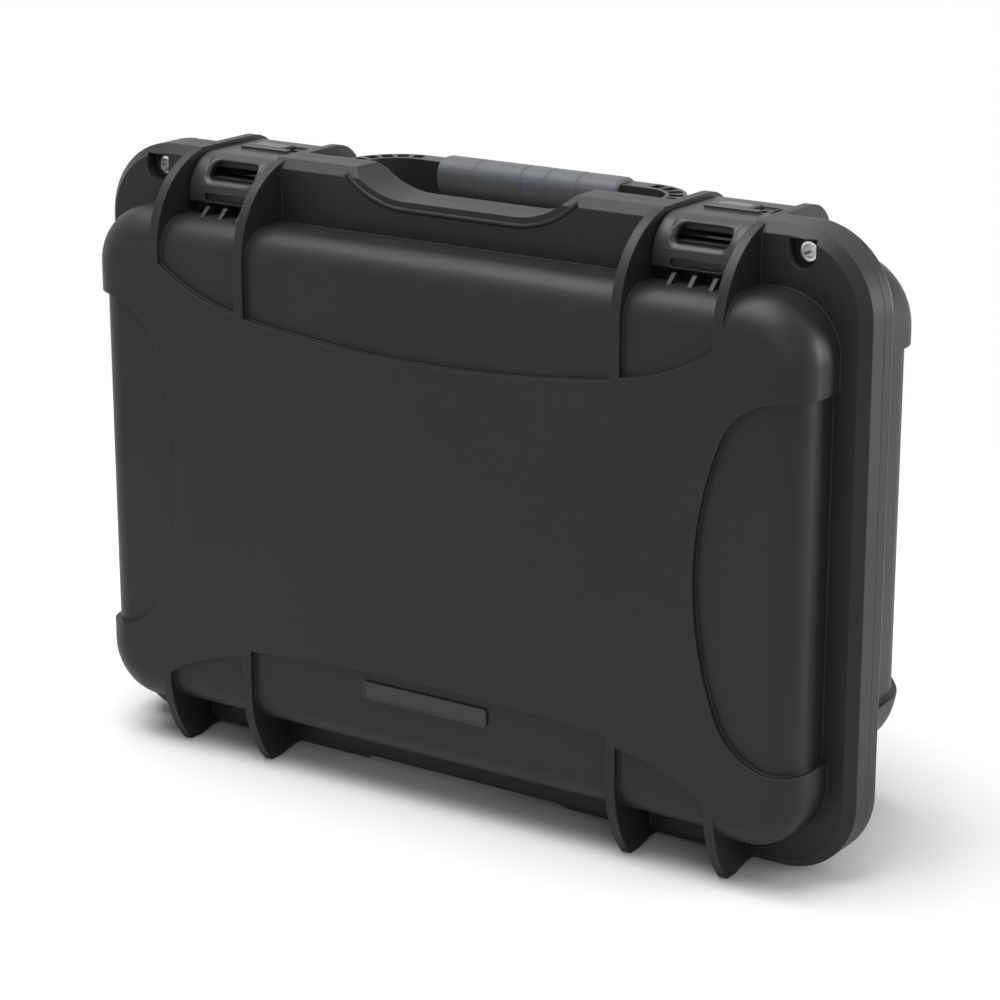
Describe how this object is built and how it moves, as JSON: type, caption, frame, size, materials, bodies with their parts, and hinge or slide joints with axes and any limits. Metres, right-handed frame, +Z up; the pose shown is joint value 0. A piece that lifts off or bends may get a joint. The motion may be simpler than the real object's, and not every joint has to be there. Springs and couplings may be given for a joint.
{
  "type": "protective hard case",
  "caption": "Hard-shell carrying case with a hinged lid, claw latches with lock slides, a folding handle, padlock bushings, a rim seal and a pressure valve.",
  "frame": {"origin": "centre of the footprint on the surface that the case stands on", "axes": "+Z up with the case standing on its hinge edge, +X along its length, lid towards -Y"},
  "size_m": [0.475, 0.163, 0.3365],
  "materials": {
    "case_plastic": "fine grained moulded resin",
    "latch_plastic": "smooth moulded resin",
    "slide_plastic": "satin grey resin",
    "grip_rubber": "soft grey overmould",
    "seal_rubber": "matt",
    "plate_plastic": "bare dark plate",
    "steel": "turned stainless"
  },
  "bodies": {
    "base": {"base_shell": "case_plastic", "base_bushing_left": "steel", "base_bushing_right": "steel", "hinge_pin_left": "steel", "hinge_pin_right": "steel", "latch_pin_left": "steel", "latch_pin_right": "steel", "handle_pin_left": "steel", "handle_pin_right": "steel", "pressure_valve_body": "latch_plastic", "pressure_valve_cap": "latch_plastic", "pressure_valve_seal": "seal_rubber"},
    "lid": {"lid_shell": "case_plastic", "lid_gasket": "seal_rubber", "lid_bushing_left": "steel", "lid_bushing_right": "steel", "nameplate": "plate_plastic"},
    "handle": {"handle_frame": "latch_plastic", "handle_grip": "grip_rubber"},
    "latch_left": {"latch_lever_left": "latch_plastic"},
    "latch_right": {"latch_lever_right": "latch_plastic"},
    "slide_left": {"latch_slide_left": "slide_plastic"},
    "slide_right": {"latch_slide_right": "slide_plastic"}
  },
  "joints": [
    {"name": "lid_hinge", "type": "hinge", "parent": "base", "child": "lid", "pos_m": [0, -0.0285, 0.004], "axis": [1, 0, 0], "range_deg": [0, 105]},
    {"name": "handle_fold", "type": "hinge", "parent": "base", "child": "handle", "pos_m": [0, -0.004, 0.3235], "axis": [1, 0, 0], "range_deg": [0, 95]},
    {"name": "latch_left_lever", "type": "hinge", "parent": "base", "child": "latch_left", "pos_m": [-0.14655, 0.0055, 0.3205], "axis": [-1, 0, 0], "range_deg": [0, 110]},
    {"name": "latch_left_lock", "type": "slide", "parent": "latch_left", "child": "slide_left", "axis": [1, 0, 0], "range_m": [0, 0.008]},
    {"name": "latch_right_lever", "type": "hinge", "parent": "base", "child": "latch_right", "pos_m": [0.14655, 0.0055, 0.3205], "axis": [-1, 0, 0], "range_deg": [0, 110]},
    {"name": "latch_right_lock", "type": "slide", "parent": "latch_right", "child": "slide_right", "axis": [1, 0, 0], "range_m": [0, 0.008]}
  ]
}
